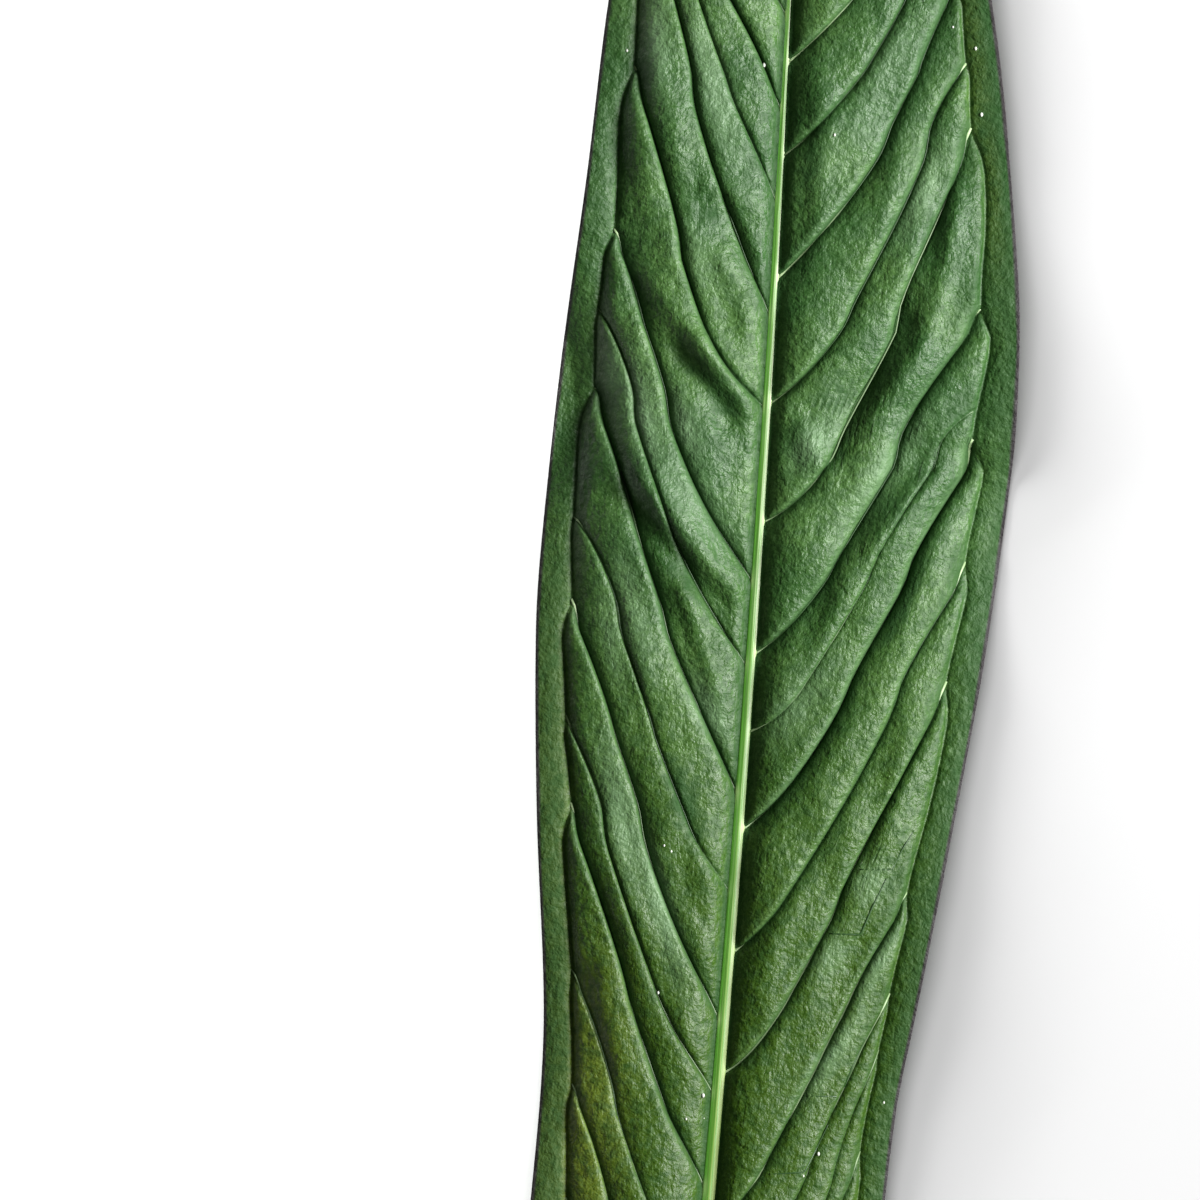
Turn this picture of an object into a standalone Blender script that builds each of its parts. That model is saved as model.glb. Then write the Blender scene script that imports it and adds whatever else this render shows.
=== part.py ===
"""A long anthurium leaf, picked, lying on its underside: a green blade and its pale midrib and petiole.

The leaf is laid out on stations, its length from the base of the blade, in millimetres.
A vertex becomes metres only when it is placed. +Y runs to the tip, +Z is up, and z = 0 is the surface.
"""

import math

import bmesh
import bpy

MM = 0.001

# Length, in millimetres
BLADE_LENGTH = 594.0
PETIOLE_LENGTH = 125.0
MIDRIB_END = 580.0
SIDE_SHIFT = -3.6
BOW_STATION = 322.0
BOW_RADIUS = 6700.0

# Half widths of the blade, left and right of the midrib, as (station, width)
LEFT_EDGE = (
    (0, 4.6), (20, 10.5), (45, 19.5), (75, 28), (105, 33.6), (140, 37.4), (175, 38.7),
    (212, 38.6), (232, 39.6), (272, 44.2), (312, 47.3), (332, 47.4), (372, 45.6), (412, 42.3),
    (452, 39.4), (490, 34.4), (525, 25.2), (555, 14.6), (580, 5.8), (594, 0.7),
)
RIGHT_EDGE = (
    (0, 4.6), (20, 10.5), (45, 19.5), (75, 28), (105, 33.6), (140, 37.2), (175, 38.3),
    (212, 39.4), (232, 41.7), (272, 46.6), (312, 51.3), (352, 54.6), (372, 54.7), (392, 53.7),
    (432, 48.7), (452, 45.2), (490, 37.2), (525, 26.4), (555, 14.8), (580, 5.8), (594, 0.7),
)

# Side veins, as (root on the midrib, end on the collective vein, depth of the groove, bow, swing).
# The bow and the swing turn a vein off the shared course: to the tip at first, or to one side and back.
LEFT_VEINS = (
    (10, 19, 1.0, 0, 0), (24, 44, 0.6, 0, 0), (40, 72, 1.0, 0, 0), (58, 102, 0.6, 0, 0),
    (78, 134, 1.0, 0.01, 0), (99, 163, 0.6, 0.02, 0), (121, 189, 1.0, 0.03, 0),
    (145, 213.5, 0.8, 0.03, 0.01), (163, 238.5, 0.6, -0.01, -0.03), (192, 275, 1.0, 0.05, -0.02),
    (213, 294, 0.6, 0.08, -0.015), (229, 319.5, 1.0, 0.02, 0), (257.5, 337.5, 0.6, -0.01, 0.03),
    (278.5, 366.5, 1.0, -0.047, 0), (307, 383.5, 0.6, -0.005, 0.005), (325.5, 401, 1.0, -0.017, 0.01),
    (364, 437, 1.0, 0.04, 0.025), (384, 471, 1.0, -0.05, 0), (409, 488, 0.7, -0.03, -0.025),
    (429, 500, 1.0, -0.01, -0.05), (450, 513, 1.0, -0.01, -0.02), (470, 525, 0.6, 0, 0),
    (489, 535, 1.0, 0, 0), (506, 544, 0.6, 0, 0), (522, 552, 1.0, 0, 0), (537, 559.5, 0.6, 0, 0),
    (551, 566, 1.0, 0, 0), (560, 571.5, 0.6, 0, 0), (568, 576, 1.0, 0, 0), (576, 580, 0.6, 0, 0),
)
RIGHT_VEINS = (
    (12, 23, 1.0, 0, 0), (28, 54, 0.6, 0, 0), (45, 86, 1.0, 0, 0), (63, 117, 0.6, 0, 0),
    (82, 147, 1.0, 0.01, 0), (102, 176, 0.6, 0.02, 0), (122, 203, 1.0, 0.05, -0.02),
    (142, 225.5, 0.6, 0.12, -0.08), (156, 238, 0.7, 0.02, -0.05), (183, 260.5, 1.0, 0.035, -0.015),
    (218, 307, 1.0, 0.07, -0.01), (244.5, 333.5, 1.0, 0.055, -0.015), (271.5, 360.5, 1.0, 0.025, 0),
    (293, 367, 0.4, -0.05, 0.045), (310, 389, 1.0, -0.04, 0.02), (339, 428.5, 1.0, -0.01, 0.025),
    (365, 442.5, 1.0, -0.055, 0.02), (392.5, 460.5, 1.0, -0.045, -0.02), (419.5, 478, 0.7, -0.02, -0.02),
    (440, 488, 1.0, -0.05, -0.025), (459, 502, 0.6, -0.03, -0.01), (477, 514, 1.0, -0.01, 0),
    (494, 525, 0.6, 0, 0), (510, 535, 1.0, 0, 0), (525, 544.5, 0.6, 0, 0), (539, 553, 1.0, 0, 0),
    (551, 561, 0.6, 0, 0), (560, 568, 1.0, 0, 0), (568, 574.5, 0.6, 0, 0), (576, 580, 1.0, 0, 0),
)
CLOSING_STATIONS = (582.0, 588.0, 594.0)
ROWS_PER_STRIP = 3

# The shared course: how far along a vein has run at each share of the way out, as powers 1 to 4
LEFT_COURSE = (0.82, -1.07, 3.15, -1.9)
RIGHT_COURSE = (0.39, 0.55, 0.94, -0.88)

HALVES = {
    -1: (LEFT_VEINS, LEFT_EDGE, LEFT_COURSE),
    1: (RIGHT_VEINS, RIGHT_EDGE, RIGHT_COURSE),
}

# Columns from the midrib (0) by the collective vein (1) to the edge (2)
COLUMNS = (0.0, 0.07, 0.2, 0.38, 0.58, 0.78, 0.92, 1.0, 1.5, 2.0)
OUTER_RUN = 0.06

# The collective vein lies this far inside the edge, and further in at the end of each side vein
COLLECTIVE_INSET = 5.6
SCALLOP = 1.9
SCALLOP_BELOW = 5.0
SCALLOP_ABOVE = 16.0
INSET_SHARE = 0.3

# Thickness and relief, in millimetres
THICKNESS = 0.9
STRIP_RISE = 1.3
STRIP_FULLNESS = 0.6
STRIP_ROOM = 4.0
EDGE_STRIP_RISE = 0.55
CLOSING_RISE = 0.5
FULL_HALF_WIDTH = 26.0
COLLECTIVE_GROOVE = 0.55
VALLEY_RISE = 3.6
VALLEY_WIDTH = 6.4
TIP_HEIGHT = 2.4
MID_HEIGHT = 6.8
HEIGHT_REACH = 110.0
EDGE_HEIGHT = 3.2
EDGE_WAVE = 1.5
EDGE_WAVE_LENGTH = 118.0
EDGE_FALL_POWER = 2.4

# The blade touches the surface at one low spot on each edge
LEFT_REST = 366.0
RIGHT_REST = 344.0
REST_DIP = 7.5
REST_SPREAD = 24.0

# The midrib and petiole
ROD_SIDES = 12
SLIT_CLEARANCE = 0.42
SLIT_SHARE = 0.6
MIDRIB_HALF_AT_BASE = 2.1
MIDRIB_HALF_AT_END = 0.45
MIDRIB_CREST = 0.9
MIDRIB_KEEL = 1.45
PETIOLE_HALF = 2.55
PETIOLE_CUT_HALF = 2.9
PETIOLE_FLAT = 26.0
FLARE_SHARE = 0.8
KEEL_BLEND = 20.0
JOINT_START = -24.0
JOINT_END = -3.0
JOINT_SWELL = 1.1
ROD_STEP = 13.0
JOINT_STEP = 3.5

BLADE_COLOUR = (0.045, 0.115, 0.04, 1.0)
RIB_COLOUR = (0.33, 0.45, 0.16, 1.0)


def smooth_value(points, station):
    """A smooth curve through (station, value) points."""
    last = len(points) - 2
    i = 0
    while i < last and station > points[i + 1][0]:
        i += 1
    before, start = points[max(i - 1, 0)], points[i]
    end, after = points[i + 1], points[min(i + 2, len(points) - 1)]
    span = end[0] - start[0]
    share = (station - start[0]) / span
    slope_in = (end[1] - before[1]) / (end[0] - before[0]) * span
    slope_out = (after[1] - start[1]) / (after[0] - start[0]) * span
    square, cube = share**2, share**3
    return (
        (2 * cube - 3 * square + 1) * start[1]
        + (cube - 2 * square + share) * slope_in
        + (3 * square - 2 * cube) * end[1]
        + (cube - square) * slope_out
    )


def ease(share):
    """A share from 0 to 1 with a level start and end."""
    share = min(max(share, 0.0), 1.0)
    return share * share * (3 - 2 * share)


def midrib_x(station):
    """The midrib's gentle bow, sideways."""
    return SIDE_SHIFT - (station - BOW_STATION) ** 2 / (2 * BOW_RADIUS)


def along(station):
    """A station's place along Y, with the whole leaf centred on the origin."""
    return station - (BLADE_LENGTH - PETIOLE_LENGTH) / 2


def midrib_height(station):
    """Height of the blade's underside beside the midrib."""
    rise = 1 - math.exp(-(BLADE_LENGTH - station) / HEIGHT_REACH)
    return TIP_HEIGHT + (MID_HEIGHT - TIP_HEIGHT) * rise


def midrib_half(station):
    """Half the midrib's width."""
    share = station / MIDRIB_END
    return MIDRIB_HALF_AT_BASE + (MIDRIB_HALF_AT_END - MIDRIB_HALF_AT_BASE) * share


def edge_height(station, side):
    """Height of the underside along the waved edge, below zero where it is to rest."""
    wave = EDGE_WAVE * math.sin(2 * math.pi * station / EDGE_WAVE_LENGTH + side)
    rest = RIGHT_REST if side > 0 else LEFT_REST
    dip = REST_DIP * math.exp(-(((station - rest) / REST_SPREAD) ** 2))
    return EDGE_HEIGHT + wave - dip


def collective_inset(station, veins, half):
    """Distance from the edge to the collective vein, which scallops in at each side vein's end."""
    scallop = 0.0
    for _, end, depth, _, _ in veins:
        gap = station - end
        reach = SCALLOP_ABOVE if gap > 0 else SCALLOP_BELOW
        scallop = max(scallop, depth * math.exp(-((gap / reach) ** 2)))
    return min(COLLECTIVE_INSET + SCALLOP * scallop, INSET_SHARE * half)


def course(column, powers, bow, swing):
    """How far along a vein has run at a column, as a share of its run to the collective vein."""
    share = min(column, 1.0)
    run = sum(factor * share ** (power + 1) for power, factor in enumerate(powers))
    run -= bow * math.sin(math.pi * share) + swing * math.sin(2 * math.pi * share)
    return run + OUTER_RUN * max(column - 1.0, 0.0)


def grid_rows(veins):
    """Rows of the grid as (root, end, rise, bow, swing): veins, strips between them, closing rows."""
    starts = [(0.0, 0.0, 0.0, 0.0, 0.0), *veins, (CLOSING_STATIONS[0], CLOSING_STATIONS[0], 0.0, 0.0, 0.0)]
    rows = []
    for vein, after in zip(starts, starts[1:]):
        for step in range(ROWS_PER_STRIP):
            share = step / ROWS_PER_STRIP
            root, end, _, bow, swing = (low + (high - low) * share for low, high in zip(vein, after))
            rows.append((root, end, 1.0 if step else 1.0 - vein[2], bow, swing))
    rows.extend((station, station, CLOSING_RISE, 0.0, 0.0) for station in CLOSING_STATIONS)
    return rows


def lines_across(side, station):
    """Distances from the middle to the slit's side, the collective vein and the edge."""
    veins, edge, _ = HALVES[side]
    half = smooth_value(edge, station)
    slit = min(midrib_half(station) + SLIT_CLEARANCE, SLIT_SHARE * half)
    vein = half - collective_inset(station, veins, half)
    return slit, max(vein, (slit + half) / 2), half


def strip_relief(column, rise, beside_slit):
    """How far the blade bulges above its broad form, before it thins out near the ends."""
    if column < 1:
        room = min(1.0, beside_slit / STRIP_ROOM)
        return STRIP_RISE * room * rise * math.sin(math.pi * column) ** STRIP_FULLNESS
    if column == 1:
        return -COLLECTIVE_GROOVE
    return EDGE_STRIP_RISE * math.sin(math.pi * (column - 1))


def blade_point(side, row, column):
    """A point of the blade's underside, on the grid of its veins."""
    root, end, rise, bow, swing = row
    run = course(column, HALVES[side][2], bow, swing)
    station = min(root + (end - root) * run, BLADE_LENGTH)
    slit, vein, half = lines_across(side, station)
    if column == 0 and station >= CLOSING_STATIONS[0]:
        out = 0.0
    elif column <= 1:
        out = slit + (vein - slit) * column
    else:
        out = vein + (half - vein) * (column - 1)

    size = min(1.0, half / FULL_HALF_WIDTH)
    valley = VALLEY_RISE * size * (1 - math.exp(-((out / VALLEY_WIDTH) ** 2)))
    top = midrib_height(station) + valley
    fall = (top - edge_height(station, side)) * (out / half) ** EDGE_FALL_POWER
    height = top - fall + size * strip_relief(column, rise, out - slit)
    return (
        (midrib_x(station) + side * out) * MM,
        along(station) * MM,
        max(height, 0.0) * MM,
    )


def add_half(mesh, side):
    """One half of the blade, as a grid whose rows follow the side veins."""
    rows = grid_rows(HALVES[side][0])
    columns = COLUMNS if side > 0 else COLUMNS[::-1]
    across, up = len(columns) - 1, len(rows) - 1
    made = bmesh.ops.create_grid(mesh, x_segments=across, y_segments=up, size=0.5)
    for vert in made["verts"]:
        column = columns[round((vert.co.x + 0.5) * across)]
        row = rows[round((vert.co.y + 0.5) * up)]
        vert.co = blade_point(side, row, column)


def principled(name, colour, roughness):
    """A plain material of one colour."""
    material = bpy.data.materials.new(name)
    material.use_nodes = True
    shader = material.node_tree.nodes["Principled BSDF"]
    shader.inputs["Base Color"].default_value = colour
    shader.inputs["Roughness"].default_value = roughness
    shader.inputs["Metallic"].default_value = 0.0
    material.diffuse_color = colour
    return material


def object_from(mesh, name, collection, material):
    """A named object made from a bmesh."""
    data = bpy.data.meshes.new(name)
    mesh.to_mesh(data)
    mesh.free()
    data.materials.append(material)
    made = bpy.data.objects.new(name, data)
    collection.objects.link(made)
    return made


def make_blade(collection):
    """The green blade: two halves that join past the midrib's end, given their thickness."""
    mesh = bmesh.new()
    add_half(mesh, -1)
    add_half(mesh, 1)
    bmesh.ops.remove_doubles(mesh, verts=mesh.verts, dist=0.00001)
    bmesh.ops.triangulate(mesh, faces=mesh.faces)
    blade = object_from(mesh, "blade", collection, principled("leaf_green", BLADE_COLOUR, 0.42))
    thickness = blade.modifiers.new("thickness", "SOLIDIFY")
    thickness.thickness = THICKNESS * MM
    thickness.offset = 1.0
    return blade


def rod_half(station):
    """Half the width of the midrib, the swollen joint or the petiole."""
    if station >= 0:
        return midrib_half(station)
    share = -station / PETIOLE_LENGTH
    half = PETIOLE_HALF + (PETIOLE_CUT_HALF - PETIOLE_HALF) * ease(share / FLARE_SHARE)
    half += (MIDRIB_HALF_AT_BASE - PETIOLE_HALF) * (1 - ease(station / JOINT_START))
    swell = (station - JOINT_START) / (JOINT_END - JOINT_START)
    if 0 < swell < 1:
        half += JOINT_SWELL * math.sin(math.pi * swell) ** 2
    return half


def rod_height(station):
    """Height of the rod's middle: in the blade's thickness, then down the petiole to the surface."""
    in_blade = midrib_height(max(station, 0.0)) + THICKNESS / 2
    on_surface = PETIOLE_CUT_HALF * math.cos(math.pi / ROD_SIDES)
    fall = ease(-station / (PETIOLE_LENGTH - PETIOLE_FLAT))
    return in_blade + (on_surface - in_blade) * fall


def place_ring(ring, station):
    """Set a ring of vertices round the rod's middle, flat side down."""
    half = rod_half(station)
    keeled = ease((station + KEEL_BLEND) / (2 * KEEL_BLEND))
    crest = 1 + (MIDRIB_CREST - 1) * keeled
    keel = 1 + (MIDRIB_KEEL - 1) * keeled
    for i, vert in enumerate(ring):
        angle = 2 * math.pi * (i + 0.5) / ROD_SIDES
        lift = -math.cos(angle)
        depth = crest if lift > 0 else keel
        vert.co = (
            (midrib_x(station) + half * math.sin(angle)) * MM,
            along(station) * MM,
            max(rod_height(station) + half * depth * lift, 0.0) * MM,
        )


def even_steps(start, end, step):
    """Stations from start up to, but not including, end, at most a step apart."""
    count = math.ceil((end - start) / step)
    return [start + (end - start) * i / count for i in range(count)]


def rod_stations():
    """Stations of the rod's rings, close together at the swollen joint."""
    return (
        even_steps(-PETIOLE_LENGTH, JOINT_START, ROD_STEP)
        + even_steps(JOINT_START, 0.0, JOINT_STEP)
        + even_steps(0.0, MIDRIB_END, ROD_STEP)
        + [MIDRIB_END]
    )


def make_midrib_and_petiole(collection):
    """The pale rod, drawn out of its cut end ring by ring."""
    mesh = bmesh.new()
    stations = rod_stations()
    made = bmesh.ops.create_circle(mesh, cap_ends=True, segments=ROD_SIDES, radius=MM)
    ring = made["verts"]
    place_ring(ring, stations[0])
    edges = [edge for edge in mesh.edges if not edge.is_manifold]
    for station in stations[1:]:
        grown = bmesh.ops.extrude_edge_only(mesh, edges=edges)["geom"]
        edges = [item for item in grown if isinstance(item, bmesh.types.BMEdge)]
        grown_ring = []
        for vert in ring:
            linked = [edge.other_vert(vert) for edge in vert.link_edges]
            grown_ring.append(next(other for other in linked if other in grown))
        ring = grown_ring
        place_ring(ring, station)
    bmesh.ops.contextual_create(mesh, geom=edges)
    bmesh.ops.recalc_face_normals(mesh, faces=mesh.faces)
    bmesh.ops.triangulate(mesh, faces=mesh.faces)
    rod = object_from(mesh, "midrib_and_petiole", collection, principled("rib_green", RIB_COLOUR, 0.45))
    rod.data.shade_smooth()
    rod.data.set_sharp_from_angle(angle=math.radians(50))
    return rod


def clear_scene():
    """Remove what the file opens with."""
    for old in list(bpy.data.objects):
        bpy.data.objects.remove(old, do_unlink=True)


def main():
    clear_scene()
    collection = bpy.data.collections.new("anthurium_leaf")
    bpy.context.scene.collection.children.link(collection)
    make_blade(collection)
    make_midrib_and_petiole(collection)


main()
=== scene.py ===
"""A long anthurium leaf, picked, lying on its underside on a pale floor.

The leaf is laid out on stations, its length from the base of the blade, in millimetres.
A vertex becomes metres only when it is placed. +Y runs to the tip, +Z is up, and z = 0 is the surface.
"""

import math

import bmesh
import bpy
import numpy as np
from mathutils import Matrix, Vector, noise
from mathutils.bvhtree import BVHTree


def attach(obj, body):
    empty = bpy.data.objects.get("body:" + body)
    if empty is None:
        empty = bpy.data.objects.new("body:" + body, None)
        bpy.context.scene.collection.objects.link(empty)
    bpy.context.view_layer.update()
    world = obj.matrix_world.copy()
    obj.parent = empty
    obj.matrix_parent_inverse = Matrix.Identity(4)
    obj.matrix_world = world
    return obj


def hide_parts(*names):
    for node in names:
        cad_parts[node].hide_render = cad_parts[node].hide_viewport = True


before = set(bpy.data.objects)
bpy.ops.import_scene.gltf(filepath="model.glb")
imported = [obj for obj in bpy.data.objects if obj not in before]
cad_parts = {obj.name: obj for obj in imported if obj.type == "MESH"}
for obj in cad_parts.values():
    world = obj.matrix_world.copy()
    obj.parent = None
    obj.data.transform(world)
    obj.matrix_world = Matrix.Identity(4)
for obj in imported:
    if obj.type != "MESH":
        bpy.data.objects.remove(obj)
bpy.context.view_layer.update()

bl_info = {
    "name": "Anthurium Leaf",
    "version": (1, 0, 0),
    "blender": (4, 5, 0),
    "location": "View3D > Sidebar > Leaf",
    "description": "Models a long anthurium leaf with its midrib, stalk and side veins, and a plain stage",
    "category": "Add Mesh",
}

MM = 0.001

# Length, in millimetres
BLADE_LENGTH = 594.0
PETIOLE_LENGTH = 125.0
MIDRIB_END = 580.0
SIDE_SHIFT = -3.6
BOW_STATION = 322.0
BOW_RADIUS = 6700.0

# Half widths of the blade, left and right of the midrib, as (station, width)
LEFT_EDGE = (
    (0, 4.6), (20, 10.5), (45, 19.5), (75, 28), (105, 33.6), (140, 37.4), (175, 38.7),
    (212, 38.6), (232, 39.6), (272, 44.2), (312, 47.3), (332, 47.4), (372, 45.6), (412, 42.3),
    (452, 39.4), (490, 34.4), (525, 25.2), (555, 14.6), (580, 5.8), (594, 0.7),
)
RIGHT_EDGE = (
    (0, 4.6), (20, 10.5), (45, 19.5), (75, 28), (105, 33.6), (140, 37.2), (175, 38.3),
    (212, 39.4), (232, 41.7), (272, 46.6), (312, 51.3), (352, 54.6), (372, 54.7), (392, 53.7),
    (432, 48.7), (452, 45.2), (490, 37.2), (525, 26.4), (555, 14.8), (580, 5.8), (594, 0.7),
)

# Side veins, as (root on the midrib, end on the collective vein, depth of the groove, bow, swing).
# The bow and the swing turn a vein off the shared course: to the tip at first, or to one side and back.
LEFT_VEINS = (
    (10, 19, 1.0, 0, 0), (24, 44, 0.6, 0, 0), (40, 72, 1.0, 0, 0), (58, 102, 0.6, 0, 0),
    (78, 134, 1.0, 0.01, 0), (99, 163, 0.6, 0.02, 0), (121, 189, 1.0, 0.03, 0),
    (145, 213.5, 0.6, 0.03, 0.01), (163, 238.5, 0.4, -0.01, -0.03), (192, 275, 1.0, 0.05, -0.02),
    (213, 294, 0.6, 0.08, -0.015), (229, 319.5, 1.0, 0.02, 0), (257.5, 337.5, 0.5, -0.01, 0.03),
    (278.5, 366.5, 1.2, -0.047, 0), (307, 383.5, 0.6, -0.005, 0.005), (325.5, 401, 1.0, -0.017, 0.01),
    (364, 437, 1.0, 0.04, 0.025), (384, 471, 0.75, -0.05, 0), (409, 488, 0.5, -0.03, -0.025),
    (429, 500, 1.0, -0.01, -0.05), (450, 513, 1.0, -0.01, -0.02), (470, 525, 0.6, 0, 0),
    (489, 535, 1.0, 0, 0), (506, 544, 0.6, 0, 0), (522, 552, 1.0, 0, 0), (537, 559.5, 0.6, 0, 0),
    (551, 566, 1.0, 0, 0), (560, 571.5, 0.6, 0, 0), (568, 576, 1.0, 0, 0), (576, 580, 0.6, 0, 0),
)
RIGHT_VEINS = (
    (12, 23, 1.0, 0, 0), (28, 54, 0.6, 0, 0), (45, 86, 1.0, 0, 0), (63, 117, 0.6, 0, 0),
    (82, 147, 1.0, 0.01, 0), (102, 176, 0.6, 0.02, 0), (122, 203, 0.55, 0.05, -0.02),
    (142, 225.5, 0.4, 0.12, -0.08), (156, 238, 0.5, 0.02, -0.05), (183, 260.5, 0.85, 0.035, -0.015),
    (218, 307, 1.0, 0.07, -0.01), (244.5, 333.5, 1.0, 0.055, -0.015), (271.5, 360.5, 1.9, 0.025, 0),
    (293, 367, 0.4, -0.05, 0.045), (310, 389, 1.45, -0.04, 0.02), (339, 428.5, 1.2, -0.01, 0.025),
    (365, 442.5, 1.0, -0.055, 0.02), (392.5, 460.5, 1.3, -0.045, -0.02), (419.5, 478, 0.7, -0.02, -0.02),
    (440, 488, 1.0, -0.05, -0.025), (459, 502, 0.6, -0.03, -0.01), (477, 514, 1.0, -0.01, 0),
    (494, 525, 0.6, 0, 0), (510, 535, 1.0, 0, 0), (525, 544.5, 0.6, 0, 0), (539, 553, 1.0, 0, 0),
    (551, 561, 0.6, 0, 0), (560, 568, 1.0, 0, 0), (568, 574.5, 0.6, 0, 0), (576, 580, 1.0, 0, 0),
)
# How wide the slope beside a vein is where it differs from the rest, in millimetres, by the vein's root
SLOPES = {
    -1: {
        145: 1.6, 163: 1.4, 192: 2.2, 213: 0.8, 229: 2.2, 257.5: 0.8, 278.5: 1.9, 307: 0.6,
        325.5: 1.5, 364: 0.8, 384: 0.7, 409: 0.6, 429: 0.7,
    },
    1: {
        183: 1.3, 218: 1.2, 244.5: 2.4, 271.5: 2.0, 293: 1.6, 310: 2.2, 339: 2.4, 365: 1.3,
        392.5: 2.8, 419.5: 0.9, 440: 2.0,
    },
}
CLOSING_STATIONS = (582.0, 583.0, 584.5, 586.0, 587.5, 589.0, 590.5, 592.0, 593.0, 593.6, 594.0)

# The shared course: how far along a vein has run at each share of the way out, as powers 1 to 4
LEFT_COURSE = (0.82, -1.07, 3.15, -1.9)
RIGHT_COURSE = (0.39, 0.55, 0.94, -0.88)

HALVES = {
    -1: (LEFT_VEINS, LEFT_EDGE, LEFT_COURSE),
    1: (RIGHT_VEINS, RIGHT_EDGE, RIGHT_COURSE),
}

# Unevenness of the blade, as (rise, size of its lumps, seed): two kinds on the strips, one all over
PUCKERS = ((0.85, 13.0, 3.0), (0.5, 6.0, 9.0), (1.1, 34.0, 5.0))

# Rows across a strip: how far they lie past the vein below and short of the one above, in
# millimetres, with even steps between; and as shares of the way across a short strip
ROWS_PAST_VEIN = (0, 0.35, 0.95, 1.9)
ROWS_BEFORE_VEIN = (2.1, 1.0, 0.36)
ROW_STEP = 2.6
SHORT_STRIP_ROWS = (0, 0.06, 0.2, 0.5, 0.8, 0.94)
SHORT_STRIP = 9.5

# Columns from the midrib (0) by the collective vein (1) to the edge (2)
COLUMNS = (
    *(0.0, 0.01, 0.022, 0.036, 0.052, 0.07, 0.092),
    *(0.12 + 0.0325 * step for step in range(25)),
    *(0.922, 0.944, 0.962, 0.976, 0.988, 1.0),
    *(1.03, 1.07, 1.13, 1.22, 1.35, 1.5, 1.64, 1.77, 1.86, 1.91, 1.945, 1.975, 2.0),
)
OUTER_RUN = 0.06

# The collective vein lies this far inside the edge, and further in at the end of each side vein
COLLECTIVE_INSET = 5.6
SCALLOP = 1.9
SCALLOP_BELOW = 5.0
SCALLOP_ABOVE = 16.0
INSET_SHARE = 0.3

# Broad form, in millimetres
CAD_THICKNESS = 0.9
FULL_HALF_WIDTH = 26.0
VALLEY_RISE = 2.5
VALLEY_WIDTHS = {-1: 6.0, 1: 5.4}
VALLEY_OPENS = 245.0
VALLEY_OPENING = 90.0
LEFT_LIFT = 1.5
LEFT_LIFT_LOST = 0.8
LEFT_LIFT_ENDS = 372.0
VALLEY_WIDENS = 9.0
TIP_HEIGHT = 2.4
MID_HEIGHT = 6.8
HEIGHT_REACH = 110.0
EDGE_HEIGHT = 3.2
EDGE_WAVE = 1.5
EDGE_WAVE_LENGTH = 118.0
EDGE_FALL_POWER = 2.8
EDGE_LIFTS = {-1: 0.3, 1: 0.42}
LEFT_REST = 366.0
RIGHT_REST = 344.0
REST_DIP = 7.5
REST_SPREAD = 24.0

# Relief of the strips between the side veins: each has one long slope and one short lip
SLOPE_WIDTH = 1.4
LIP_WIDTH = 0.55
MIDRIB_SHOULDER = 2.0
COLLECTIVE_SHOULDERS = {-1: 2.2, 1: 0.8}
SHOULDER_SHARPNESS = 2.4
CREASE_DEPTH = 0.35
CREASE_HALF = 0.32
COLLECTIVE_GROOVE = 0.35
COLLECTIVE_HALF = 0.5
EDGE_STRIP_RISE = 0.45

# Share of the painted shade band along a vein that fades slowly, on either half
SLOW_BANDS = {-1: 0.35, 1: 0.55}

# Painted shade in a dark line beside the midrib on either half: how dark, and how far it reaches
MIDRIB_SHADES = {-1: (0.85, 0.5), 1: (0.9, 0.6)}

# The midrib and petiole
SLIT_CLEARANCE = 0.42
SLIT_SHARE = 0.6
BLADE_START = 0.35
MIDRIB_HALF_AT_BASE = 2.1
MIDRIB_HALF_AT_END = 0.45
MIDRIB_CREST = 0.62
MIDRIB_KEEL = 1.45
PETIOLE_HALF = 2.55
PETIOLE_CUT_HALF = 2.9
PETIOLE_FLAT = 26.0
FLARE_SHARE = 0.8
KEEL_BLEND = 20.0
JOINT_START = -24.0
JOINT_END = -3.0
JOINT_SWELL = 1.1
CAD_ROD_SIDES = 12
ROD_SIDES = 36
ROD_STEP = 2.0

# Patterns of the materials, and the layout of their nodes
NET_PUSH = 1.6
CROSS_VEIN_SCALE = (3.0, 24.0, 1.0)
STREAK_SCALE = (2.6, 0.06, 2.6)
NODE_GAP = 220.0
NODES_IN_ROW = 9

# Where the camera looks
VIEW_X = -37.33
VIEW_Y = 85.22
VIEW_TURN = 3.86
VIEW_WIDTH = 262.6
LENS = 200.0
SENSOR = 36.0
PICTURE = 1200.0


def smooth_values(points, stations):
    """A smooth curve through (station, value) points, at many stations."""
    places, values = np.array(points, dtype=float).T
    slopes = np.empty_like(values)
    slopes[1:-1] = (values[2:] - values[:-2]) / (places[2:] - places[:-2])
    slopes[0] = (values[1] - values[0]) / (places[1] - places[0])
    slopes[-1] = (values[-1] - values[-2]) / (places[-1] - places[-2])
    i = np.clip(np.searchsorted(places, stations) - 1, 0, len(points) - 2)
    span = places[i + 1] - places[i]
    share = (stations - places[i]) / span
    square, cube = share**2, share**3
    return (
        (2 * cube - 3 * square + 1) * values[i]
        + (cube - 2 * square + share) * slopes[i] * span
        + (3 * square - 2 * cube) * values[i + 1]
        + (cube - square) * slopes[i + 1] * span
    )


def ease(share):
    """A share, kept from 0 to 1, with a level start and end."""
    share = np.clip(share, 0.0, 1.0)
    return share * share * (3 - 2 * share)


def hump(distance, width):
    """1 at no distance, and fading to 0 past a width."""
    return np.exp(-((distance / width) ** 2))


def midrib_x(station):
    """The midrib's gentle bow, sideways."""
    return SIDE_SHIFT - (station - BOW_STATION) ** 2 / (2 * BOW_RADIUS)


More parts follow.
